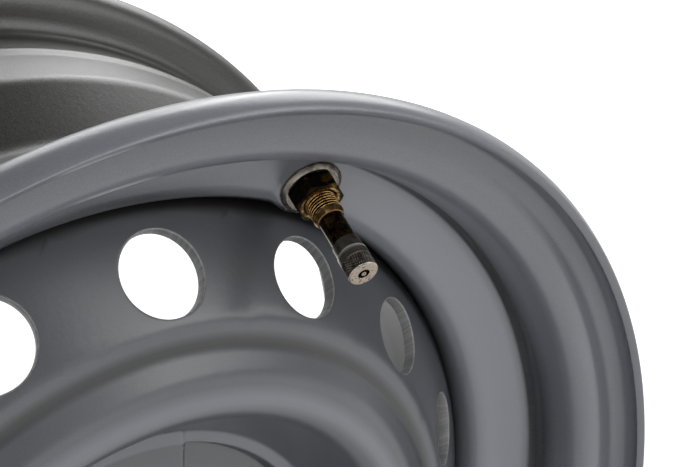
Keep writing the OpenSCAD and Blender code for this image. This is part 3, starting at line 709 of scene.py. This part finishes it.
NUT_AF, NUT_H, NUT_COLUMNS, CHAMFER_R, SIDE_R = 14.0, 5.5, 144, 6.75, 6.8
nut_angles = (np.arange(NUT_COLUMNS) * 2 * np.pi / NUT_COLUMNS)[None, :]
levels = np.array([
    (BORE_R, 0.3), (5.1, 0), (6.2, 0), (CHAMFER_R, 0.0), (8.2, 0.55), (9, 1.2), (9, 2.6), (9, 3.9), (8.2, 4.72),
    (7.6, 5.1), (7.0, 5.4), (CHAMFER_R, NUT_H), (6.4, NUT_H), (6.15, NUT_H), (5.6, NUT_H), (5.4, 5.4), (4.95, 4.75),
    (BORE_R, 2.5)])
nut_r = np.minimum(levels[:, :1], hexagon(nut_angles, NUT_AF))
nut_v = levels[:, 1:] + 0 * nut_angles
side = levels[:, :1] > SIDE_R
fall = np.where(side, np.maximum(nut_r - CHAMFER_R, 0) * tan(radians(30)), 0)
nut_v = np.where(side & (nut_v > 4.5), np.minimum(nut_v, NUT_H - fall), nut_v)
nut_v = np.where(side & (nut_v < 1.0), np.maximum(nut_v, fall * 0.7), nut_v)
bare_ring = np.clip((nut_v - (NUT_H - 1.0)) / 0.3, 0, 1) * (nut_r < 6.3)
nut = piece_from_grids(
    "nut",
    [(valve_place(nut_r, WASHER_T + nut_v, nut_angles), grid_faces(len(levels), NUT_COLUMNS, close_rows=True))],
    marks={"ring": [bare_ring], "turned": [nut_r + 0 * nut_v]}, sharp=25)

# %% The cap with its diamond knurling
CAP_R, CAP_FOOT, CAP_STEP, CAP_END, SKIRT_R, CAP_BORE_R = 4.55, 24.2, 28.1, 36.1, 4.24, 3.94
KNURL_FROM, KNURL_TO, KNURL_DEPTH, KNURL_PITCH, GROOVES = 30.8, 35.5, 0.26, 0.75, 48
cap_corners = [
    (0.0, 36.3, 0), (0.6, 36.27, 0.25), (1.1, 35.6, 0.1), (1.5, 35.4, 0.1), (1.8, CAP_END, 0.12), (4.2, CAP_END, 0.15),
    (CAP_R, 35.8, 0.2), (CAP_R, KNURL_TO, 0), (CAP_R, KNURL_FROM, 0), (CAP_R, CAP_STEP, 0.3), (SKIRT_R, 28.0, 0.05),
    (SKIRT_R, CAP_FOOT, 0.15), (CAP_BORE_R, CAP_FOOT, 0.1), (CAP_BORE_R, 34.0, 0.1), (0.0, 34.0, 0)]


def cap_steps(middles):
    """Fine steps along the knurled part only."""
    return np.where((middles[:, 0] > 4.5) & (middles[:, 1] > KNURL_FROM), 0.09, 2.0)


def knurl(along, angle, radius):
    """Two crossing sets of 48 grooves: each is the square of a triangle wave of angle plus or minus along."""
    climb = along / KNURL_PITCH
    turns = GROOVES * angle / (2 * np.pi)
    waves = np.maximum(np.abs(((turns + climb) % 1) * 2 - 1), np.abs(((turns - climb) % 1) * 2 - 1))
    held = smooth_step((along - KNURL_FROM - 0.1) / 0.7) * smooth_step((KNURL_TO - 0.02 - along) / 0.2) * (radius > 4.5)
    return KNURL_DEPTH * waves ** 2 * held


# %% The cap as a mesh
CAP_COLUMNS, RIM_FROM, RIM_R, PIP_R = 8 * GROOVES, 35.7, 4.3, 1.8
grid, quads, along, radius = turned(cap_corners, CAP_COLUMNS, cap_steps, closed=False, relief=knurl)
# The knurl's grooves and the pip's hollow get painted shade.
in_grooves = (CAP_R - radius) * (along > KNURL_FROM) * (along < KNURL_TO - 0.01)
round_pip = (CAP_END - along) * (radius < PIP_R) * (along < CAP_END)
# The step's bead and the end's edge are light: partly bare steel from wear, partly a painted highlight.
step_edge = np.clip(1.5 - np.abs(along - CAP_STEP - 0.1) / 0.2, 0, 1) * (radius > RIM_R)
end_edge = 0.8 * (along > RIM_FROM) * (radius > RIM_R)
end_face = 1.0 * (along > RIM_FROM) * (radius < RIM_R)
screw_cap = piece_from_grids(
    "screw_cap", [(grid, quads)],
    marks={"wear_and_highlight": [step_edge + end_edge], "end": [end_face], "turned": [along + radius],
           "groove_shade": [in_grooves + round_pip]},
    sharp=60)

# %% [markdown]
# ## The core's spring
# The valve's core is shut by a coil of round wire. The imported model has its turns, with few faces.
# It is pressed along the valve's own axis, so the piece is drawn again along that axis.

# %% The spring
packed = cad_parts["core_spring"].data.vertices
spring_at = np.empty(len(packed) * 3)
packed.foreach_get("co", spring_at)
spring_along = (spring_at.reshape(-1, 3) / MM - valve_foot) @ valve_axis
SPRING_LOW, SPRING_HIGH = spring_along.min(), spring_along.max()
WIRE_R, COIL_R, SPRING_TURNS, PIN_TRAVEL, COIL_ROWS, WIRE_SIDES = 0.18, 0.93, 5, 1.2, 241, 12
turn = np.linspace(0, 2 * np.pi * SPRING_TURNS, COIL_ROWS)[:, None]
wire_angle = (np.arange(WIRE_SIDES) * 2 * np.pi / WIRE_SIDES)[None, :]
rise = SPRING_LOW + WIRE_R + (SPRING_HIGH - SPRING_LOW - 2 * WIRE_R) * turn / turn[-1]
wire_r = WIRE_R * np.concatenate([[0.0], np.ones(COIL_ROWS - 2), [0.0]])[:, None]
coil = valve_place(COIL_R + wire_r * np.cos(wire_angle), rise + wire_r * np.sin(wire_angle), turn)
spring = piece_from_grids("spring", [(coil, grid_faces(COIL_ROWS, WIRE_SIDES))], sharp=60)
print("spring along the valve's axis", round(SPRING_LOW, 2), round(SPRING_HIGH, 2))

# %% [markdown]
# ## Finishes
# Every finish is made of noise on the object's own coordinates, which are in metres, so a scale of
# 500 gives spots 2 mm wide. What several finishes share is a node group: the orange peel of
# sprayed paint, and the mottle of handled metal.

# %% Helpers for node trees
def add(tree, kind, inputs=None, **settings):
    """Adds a node, sets its options, and links or sets its inputs."""
    n = tree.nodes.new(kind)
    for key, value in settings.items():
        setattr(n, key, value)
    for key, value in (inputs or {}).items():
        if isinstance(value, bpy.types.NodeSocket):
            tree.links.new(value, n.inputs[key])
        else:
            n.inputs[key].default_value = value
    return n


def new_group(name, inputs, outputs):
    """A node group with float inputs and named outputs."""
    group = bpy.data.node_groups.new(name, "ShaderNodeTree")
    for key, value in inputs.items():
        group.interface.new_socket(key, in_out="INPUT", socket_type="NodeSocketFloat").default_value = value
    for key, kind in outputs.items():
        group.interface.new_socket(key, in_out="OUTPUT", socket_type=kind)
    return group, group.nodes.new("NodeGroupInput"), group.nodes.new("NodeGroupOutput")


def noise(tree, place, scale, detail=2.0, roughness=0.5):
    """A noise texture's value."""
    inputs = {"Vector": place, "Scale": scale, "Detail": detail, "Roughness": roughness}
    return add(tree, "ShaderNodeTexNoise", inputs).outputs[0]


def ramp(tree, value, low, high, to_low=0.0, to_high=1.0):
    """Maps low..high to to_low..to_high, and holds it there outside."""
    inputs = {"Value": value, "From Min": low, "From Max": high, "To Min": to_low, "To Max": to_high}
    return add(tree, "ShaderNodeMapRange", inputs).outputs[0]


def maths(tree, operation, first, second):
    """One operation, such as MULTIPLY or MAXIMUM, on two values."""
    return add(tree, "ShaderNodeMath", {0: first, 1: second}, operation=operation).outputs[0]


def mark(tree, name):
    """A value that the mesh carries at each point."""
    return add(tree, "ShaderNodeAttribute", attribute_name=name).outputs["Fac"]


def on_object(tree):
    """The point's own place on the object."""
    return add(tree, "ShaderNodeTexCoord").outputs["Object"]


def mix(tree, share, first, second):
    """A colour between first and second."""
    n = add(tree, "ShaderNodeMix", data_type="RGBA")
    for key, value in (("Factor_Float", share), ("A_Color", first), ("B_Color", second)):
        socket = next(s for s in n.inputs if s.identifier == key)
        if isinstance(value, bpy.types.NodeSocket):
            tree.links.new(value, socket)
        else:
            socket.default_value = value
    return next(s for s in n.outputs if s.identifier == "Result_Color")


# %% Orange peel, shared by the paints
peel_group, g_in, g_out = new_group(
    "orange_peel", {"Grain": 0.0},
    {"Normal": "NodeSocketVector", "Tone": "NodeSocketFloat", "Speck": "NodeSocketFloat"})
place = on_object(peel_group)
dimples = noise(peel_group, place, 520, 1.0)
grains = noise(peel_group, place, 2600, 2.0)
height = maths(peel_group, "ADD", dimples, maths(peel_group, "MULTIPLY", grains, g_in.outputs["Grain"]))
bump = add(peel_group, "ShaderNodeBump", {"Height": height, "Strength": 1.0, "Distance": 0.000035})
peel_group.links.new(bump.outputs[0], g_out.inputs["Normal"])
peel_group.links.new(ramp(peel_group, noise(peel_group, place, 22, 3.0), 0.3, 0.7), g_out.inputs["Tone"])
peel_group.links.new(ramp(peel_group, noise(peel_group, place, 2600, 2.0), 0.35, 0.65), g_out.inputs["Speck"])

# %% Mottle, shared by the metals and the rubber
mottle_group, g_in, g_out = new_group(
    "metal_mottle", {"Scale": 600.0, "Rings": 7.0},
    {"Stain": "NodeSocketFloat", "Lathe": "NodeSocketFloat", "Normal": "NodeSocketVector"})
place = on_object(mottle_group)
blots = noise(mottle_group, place, g_in.outputs["Scale"], 4.0, 0.6)
fine = noise(mottle_group, place, 5000, 2.0)
lathe = add(
    mottle_group, "ShaderNodeTexNoise",
    {"W": mark(mottle_group, "turned"), "Scale": g_in.outputs["Rings"], "Detail": 3.0},
    noise_dimensions="1D").outputs[0]
height = maths(mottle_group, "ADD", fine, lathe)
bump = add(mottle_group, "ShaderNodeBump", {"Height": height, "Strength": 1.0, "Distance": 0.000005})
mottle_group.links.new(ramp(mottle_group, blots, 0.35, 0.65), g_out.inputs["Stain"])
mottle_group.links.new(ramp(mottle_group, lathe, 0.35, 0.65), g_out.inputs["Lathe"])
mottle_group.links.new(bump.outputs[0], g_out.inputs["Normal"])
print("groups", [g.name for g in bpy.data.node_groups])


# %% Helpers for materials
def new_material(name):
    """A material with its tree and its Principled shader."""
    m = bpy.data.materials.new(name)
    m.use_nodes = True
    return m, m.node_tree, m.node_tree.nodes["Principled BSDF"]


def shared(tree, group, **values):
    """Places a shared group in a material."""
    return add(tree, "ShaderNodeGroup", values, node_tree=group)


def stains(tree, scale):
    """The mottle's spots alone."""
    return shared(tree, mottle_group, Scale=scale).outputs["Stain"]


def grey(value):
    """A grey with a slight blue cast."""
    return (value, value * 1.035, value * 1.16, 1)


def finish(tree, shader, **sources):
    """Links each source to the shader's input of that name, with _ for its spaces."""
    for key, source in sources.items():
        tree.links.new(source, shader.inputs[key.replace("_", " ")])


# %% [markdown]
# ### The wheel's paint
# The wheel is sprayed grey on bare steel: smooth, but with the fine dimples of orange peel, a little uneven,
# and rough where the tyre goes. One plain colour would make it look like plastic. So the paint starts from two
# greys, and the marks on the mesh then mix in the rest: painted light and shade on the rim's slopes and bends and
# the disc's crown, ledge and gutter, painted shade nearly black on the tyre's side and in the joints, and burrs.

# %% The rim's paint
JOINT_SHADE_COLOUR, BURR, PAINT_IOR = (0.012, 0.012, 0.012, 1), (0.03, 0.029, 0.027, 1), 1.75
rim_paint, tree, shader = new_material("rim_paint")
tyre = mark(tree, "tyre_side")
peel = shared(tree, peel_group, Grain=ramp(tree, tyre, 0, 1, 0.0, 0.8))
speck, painted_light_and_shade = peel.outputs["Speck"], mark(tree, "painted_light_and_shade")
base = mix(tree, peel.outputs["Tone"], grey(0.22), grey(0.24))
# Painted light and shade: lighter towards a light grey, darker towards near black.
base = mix(tree, ramp(tree, painted_light_and_shade, 0, 1), base, grey(0.34))
base = mix(tree, ramp(tree, painted_light_and_shade, 0, -1), base, grey(0.03))
base = mix(tree, ramp(tree, speck, 0, 1, 0, 0.12), base, grey(0.5))
# The tyre's side is painted nearly black as shade; its roughness and stronger grain are its own.
tyre_side_shade = mix(tree, speck, (0.012, 0.0117, 0.011, 1), (0.06, 0.0585, 0.055, 1))
base = mix(tree, tyre, base, tyre_side_shade)
ragged = ramp(tree, noise(tree, on_object(tree), 700, 3.0, 0.6), 0.4, 0.6, 0.6, 1)
burr_line = maths(tree, "MULTIPLY", mark(tree, "burr"), ragged)
base = mix(tree, ramp(tree, burr_line, 0.3, 1.0, 0, 0.85), base, BURR)
# Painted shade in the joint with the disc.
base = mix(tree, mark(tree, "joint_shade"), base, JOINT_SHADE_COLOUR)
finish(tree, shader, Base_Color=base, Roughness=ramp(tree, tyre, 0, 1, 0.28, 0.36), Normal=peel.outputs["Normal"])
shader.inputs["IOR"].default_value = PAINT_IOR
wheel_rim.data.materials.append(rim_paint)


# %% The disc's paint, with burnished vent walls
def band(tree, value, first, full, last, end):
    """1 from full to last, fading to 0 at first and at end."""
    return maths(tree, "MULTIPLY", ramp(tree, value, first, full), ramp(tree, value, last, end, 1, 0))


# Painted light on the crown and the ledge, and painted shade in the gutter, as bands of radius.
CROWN_PAINTED_LIGHT = (95.5, 98.5, 100.5, 104.5)
LEDGE_PAINTED_LIGHT = (74.8, 75.6, 79.2, 80.0)
GUTTER_PAINTED_SHADE = (112.8, 115.2, 116.6, 119.6)
disc_paint, tree, shader = new_material("disc_paint")
peel = shared(tree, peel_group, Grain=0.0)
base = mix(tree, peel.outputs["Tone"], grey(0.100), grey(0.114))
base = mix(tree, ramp(tree, peel.outputs["Speck"], 0, 1, 0, 0.10), base, grey(0.25))
at_radius = mark(tree, "radius")
for limits, value in ((CROWN_PAINTED_LIGHT, 0.215), (LEDGE_PAINTED_LIGHT, 0.20), (GUTTER_PAINTED_SHADE, 0.012)):
    base = mix(tree, band(tree, at_radius, *limits), base, grey(value))
# Painted shade in the joint with the rim.
base = mix(tree, mark(tree, "joint_shade"), base, JOINT_SHADE_COLOUR)
wall_share = ramp(tree, mark(tree, "hole_wall"), 0.3, 0.7)
round_hole = add(tree, "ShaderNodeCombineXYZ", {"X": mark(tree, "hole_x"), "Y": mark(tree, "hole_y")}).outputs[0]
streaks = ramp(tree, noise(tree, round_hole, 9, 4.0, 0.7), 0.35, 0.65)
burnished = mix(tree, streaks, (0.24, 0.24, 0.24, 1), (0.44, 0.44, 0.43, 1))
finish(tree, shader, Base_Color=mix(tree, wall_share, base, burnished),
       Roughness=ramp(tree, wall_share, 0, 1, 0.3, 0.42), Normal=peel.outputs["Normal"])
shader.inputs["IOR"].default_value = PAINT_IOR
wheel_disc.data.materials.append(disc_paint)
weld_beads.data.materials.append(disc_paint)


# %% [markdown]
# ### The valve's metals
# The valve has been handled: its brass is gold on the thread's crests, the nut is nearly black, the washer is
# dull nickel, and the cap's steel is bright with wear and a painted highlight on its edges. The grooves of thread
# and knurl are painted nearly black as shade. A plain metal would look new. So each metal mixes a light and a
# dark colour by spots and by rings round the lathe's axis, and each piece then adds what only it has.

# %% A mottled metal
def metal(name, light, dark, rough, scale, stained=0.5, rings=7.0):
    """A metal mottled from light to dark, with its roughness from rough[0] to rough[1]. Returns its parts."""
    m, tree, shader = new_material(name)
    spots = shared(tree, mottle_group, Scale=scale, Rings=rings)
    share = maths(tree, "MAXIMUM", spots.outputs["Stain"], spots.outputs["Lathe"])
    colour = mix(tree, ramp(tree, share, 1 - stained, 1.1), light, dark)
    roughness = ramp(tree, spots.outputs["Stain"], 0, 1, rough[0], rough[1])
    finish(tree, shader, Base_Color=colour, Roughness=roughness, Normal=spots.outputs["Normal"])
    shader.inputs["Metallic"].default_value = 1.0
    return m, tree, shader, colour


# %% Brass for the core, and the stem's brass
brass, *_ = metal("brass", (0.62, 0.43, 0.20, 1), (0.26, 0.16, 0.06, 1), (0.25, 0.45), 500)
stem_brass, tree, shader, colour = metal("stem_brass", (0.66, 0.41, 0.15, 1), (0.22, 0.12, 0.035, 1), (0.14, 0.30), 900)
along, groove_shade = mark(tree, "along"), mark(tree, "groove_shade")
patina = mix(tree, ramp(tree, stains(tree, 420.0), 0.2, 0.8), (0.006, 0.004, 0.002, 1), (0.125, 0.072, 0.022, 1))
# Painted shade: the thread's grooves go nearly black.
threaded = mix(tree, ramp(tree, groove_shade, 0.06, 0.22), colour, (0.006, 0.004, 0.002, 1))
threaded = mix(tree, ramp(tree, along, 12.9, 13.1), threaded, (0.20, 0.12, 0.045, 1))
finish(tree, shader, Base_Color=mix(tree, ramp(tree, along, 14.35, 14.5), threaded, patina))
valve_body.data.materials.append(stem_brass)

# %% The nut's browned brass, with a bare ring
browned, tree, shader, colour = metal(
    "browned_brass", (0.022, 0.014, 0.008, 1), (0.006, 0.004, 0.003, 1), (0.28, 0.5), 700)
gold = mix(tree, ramp(tree, stains(tree, 600.0), 0.2, 0.8), (0.56, 0.36, 0.14, 1), (0.06, 0.035, 0.012, 1))
rubbed = ramp(tree, stains(tree, 160.0), 0.72, 1, 0, 0.8)
colour = mix(tree, rubbed, colour, (0.24, 0.13, 0.035, 1))
finish(tree, shader, Base_Color=mix(tree, mark(tree, "ring"), colour, gold))
nut.data.materials.append(browned)

# %% The washer's nickel, and the cap's steel with bright wear and painted highlights on its edges
nickel, *_ = metal("nickel", (0.29, 0.26, 0.225, 1), (0.05, 0.043, 0.036, 1), (0.2, 0.34), 250, 0.7, 2.2)
washer.data.materials.append(nickel)
cap_steel, tree, shader, colour = metal(
    "cap_steel", (0.31, 0.27, 0.225, 1), (0.07, 0.06, 0.05, 1), (0.2, 0.4), 450, 0.6)
wear_and_highlight = mark(tree, "wear_and_highlight")
bare_end = mix(tree, ramp(tree, stains(tree, 1400.0), 0.7, 0.95), (0.42, 0.35, 0.28, 1), (0.05, 0.04, 0.03, 1))
colour = mix(tree, mark(tree, "end"), colour, bare_end)
# Painted shade: the knurl's grooves and the pip's hollow go nearly black.
colour = mix(tree, ramp(tree, mark(tree, "groove_shade"), 0.10, 0.17), colour, (0.004, 0.0035, 0.003, 1))
# The edges are light and less metallic, so they show a painted highlight as well as wear.
finish(tree, shader, Base_Color=mix(tree, wear_and_highlight, colour, (0.80, 0.76, 0.70, 1)),
       Roughness=ramp(tree, wear_and_highlight, 0, 1, 0.34, 0.12), Metallic=ramp(tree, wear_and_highlight, 0, 1, 1.0, 0.35))
screw_cap.data.materials.append(cap_steel)

# %% [markdown]
# ### Wire and rubber
# The spring is drawn wire, brighter and more even than the rest. The seals are moulded black rubber,
# which is never quite black or quite even: the same mottle, kept weak, is enough.

# %% Spring wire and rubber
spring_wire, *_ = metal("spring_wire", (0.60, 0.60, 0.60, 1), (0.42, 0.42, 0.43, 1), (0.2, 0.35), 900)
spring.data.materials.append(spring_wire)
rubber, tree, shader = new_material("rubber")
spots = shared(tree, mottle_group, Scale=800.0)
stain = spots.outputs["Stain"]
finish(tree, shader, Base_Color=mix(tree, stain, (0.018, 0.018, 0.018, 1), (0.035, 0.034, 0.033, 1)),
       Roughness=ramp(tree, stain, 0, 1, 0.55, 0.75), Normal=spots.outputs["Normal"])
grommet.data.materials.append(rubber)
print("materials", [m.name for m in bpy.data.materials])

# %% [markdown]
# ## Each piece in its place
# A new piece rides on the body of the node that it stands for, and hides that node. The small
# pieces of the valve's core stay as they are and only get their finish.

# %% Ride, replace and finish
pieces = [
    (wheel_rim, "wheel", "rim", "wheel_paint"), (wheel_disc, "wheel", "disc", "wheel_paint"),
    (weld_beads, "wheel", "disc_welds", "wheel_paint"), (valve_body, "wheel", "valve_stem", "brass"),
    (grommet, "wheel", "valve_grommet", "rubber"), (washer, "wheel", "valve_washer", "nickel"),
    (nut, "wheel", "valve_nut", "dark_brass"), (screw_cap, "cap", "valve_cap", "cap_steel"),
    (spring, "wheel", "core_spring", "spring_steel")]
for piece, body, node, slot_name in pieces:
    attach(piece, body)
    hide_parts(node)
kept = {"core_plug": brass, "core_barrel": brass, "core_pin": brass, "core_cup": brass,
        "core_gasket": rubber, "core_cup_seal": rubber, "cap_seal": rubber}
for node, material in kept.items():
    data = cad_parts[node].data
    data.materials.clear()
    data.materials.append(material)
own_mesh(spring)
print("pieces", len(pieces), "kept nodes", len(kept))

# %% [markdown]
# ## Floor, world and light
# The photograph was taken on white. A white floor could be had with more light, but that would
# bleach the wheel. So the floor glows a little where it is seen, just enough to reach white where
# the lamps light it, and the wheel's shadow stays on it. Away from the lamps it glows more.

# %% The floor's sheet
FLOOR_Z, FLOOR_HALF = -0.1955, 12.0
floor_mesh = bpy.data.meshes.new("floor")
floor_corners = [(x * FLOOR_HALF, y * FLOOR_HALF, FLOOR_Z) for x, y in ((-1, -1), (1, -1), (1, 1), (-1, 1))]
floor_mesh.from_pydata(floor_corners, [], [(0, 1, 2, 3)])
floor = bpy.data.objects.new("floor", floor_mesh)
bpy.context.scene.collection.objects.link(floor)
print("floor at", FLOOR_Z)


# %% The floor's paper
def seen_directly(tree, in_mirrors):
    """1 for rays from the camera and through glass, and in_mirrors for rays that a glossy surface sends."""
    path = add(tree, "ShaderNodeLightPath").outputs
    mirrored = maths(tree, "MULTIPLY", path["Is Glossy Ray"], in_mirrors)
    return maths(tree, "MAXIMUM", maths(tree, "MAXIMUM", path["Is Camera Ray"], path["Is Transmission Ray"]), mirrored)


MIRRORED_FLOOR = 0.65
floor_paper, tree, shader = new_material("floor_paper")
shader.inputs["Base Color"].default_value = (0.80, 0.80, 0.80, 1)
shader.inputs["Roughness"].default_value = 0.9
distance = add(tree, "ShaderNodeVectorMath", {0: on_object(tree)}, operation="LENGTH").outputs["Value"]
glow = maths(tree, "MULTIPLY", seen_directly(tree, MIRRORED_FLOOR), ramp(tree, distance, 0.4, 2.2, 0.60, 0.98))
white = add(tree, "ShaderNodeEmission", {"Color": (1, 1, 1, 1), "Strength": glow})
both = add(tree, "ShaderNodeAddShader", {0: shader.outputs[0], 1: white.outputs[0]})
tree.links.new(both.outputs[0], tree.nodes["Material Output"].inputs["Surface"])
floor_mesh.materials.append(floor_paper)

# %% [markdown]
# The world is white to the camera too. The wheel's gloss mirrors a bright sweep behind it and a dark
# room before it, as in the photograph, so glossy rays see a world that is bright on one side only:
# brightest near the horizon behind the wheel, fading upwards and towards the front.

# %% World
BACK_TURN, DARK_ROOM = radians(50), 0.045
world = bpy.data.worlds.new("studio")
world.use_nodes = True
bpy.context.scene.world = world
tree = world.node_tree
back = tree.nodes["Background"]
back.inputs["Color"].default_value = (1, 1, 1, 1)
direction = on_object(tree)
towards_back = {0: direction, 1: (cos(BACK_TURN), sin(BACK_TURN), 0)}
behind = add(tree, "ShaderNodeVectorMath", towards_back, operation="DOT_PRODUCT").outputs["Value"]
height = add(tree, "ShaderNodeSeparateXYZ", {0: direction}).outputs["Z"]
sweep = maths(tree, "MULTIPLY", ramp(tree, behind, 0.2, 0.7), ramp(tree, height, 0.0, 0.55, 1.0, 0.1))
strength = maths(tree, "MAXIMUM", seen_directly(tree, sweep), DARK_ROOM)
tree.links.new(strength, back.inputs["Strength"])
print("world", world.name)

# %% [markdown]
# Five large square lamps light the wheel softly from behind, from both front sides and from low in
# front. Their size is what makes the highlights on the lip broad. Their places were found by
# comparing the tones of lip, slope, disc and barrel with the photograph's.

# %% Lamps
AIM = (0, 0, 0.1)
LAMPS = {
    "back_right": ((1.135, 0.655, 0.918), 0.9, 8.5), "back": ((0.655, 1.135, 0.918), 0.9, 6.5),
    "front_left": ((-0.655, -1.135, 0.918), 0.9, 6.3), "front_right": ((0.95, -0.95, 0.85), 1.1, 8.0),
    "front_low": ((0.6, -1.45, 0.3), 0.9, 1.6)}
for name, (place, size, power) in LAMPS.items():
    data = bpy.data.lights.new(name, "AREA")
    data.shape, data.size, data.energy = "SQUARE", size, power
    lamp = bpy.data.objects.new(name, data)
    lamp.location = place
    lamp.rotation_euler = (Vector(AIM) - Vector(place)).to_track_quat("-Z", "Y").to_euler()
    bpy.context.scene.collection.objects.link(lamp)

# %% The colour transform, and the end
bpy.context.scene.view_settings.view_transform = "Standard"
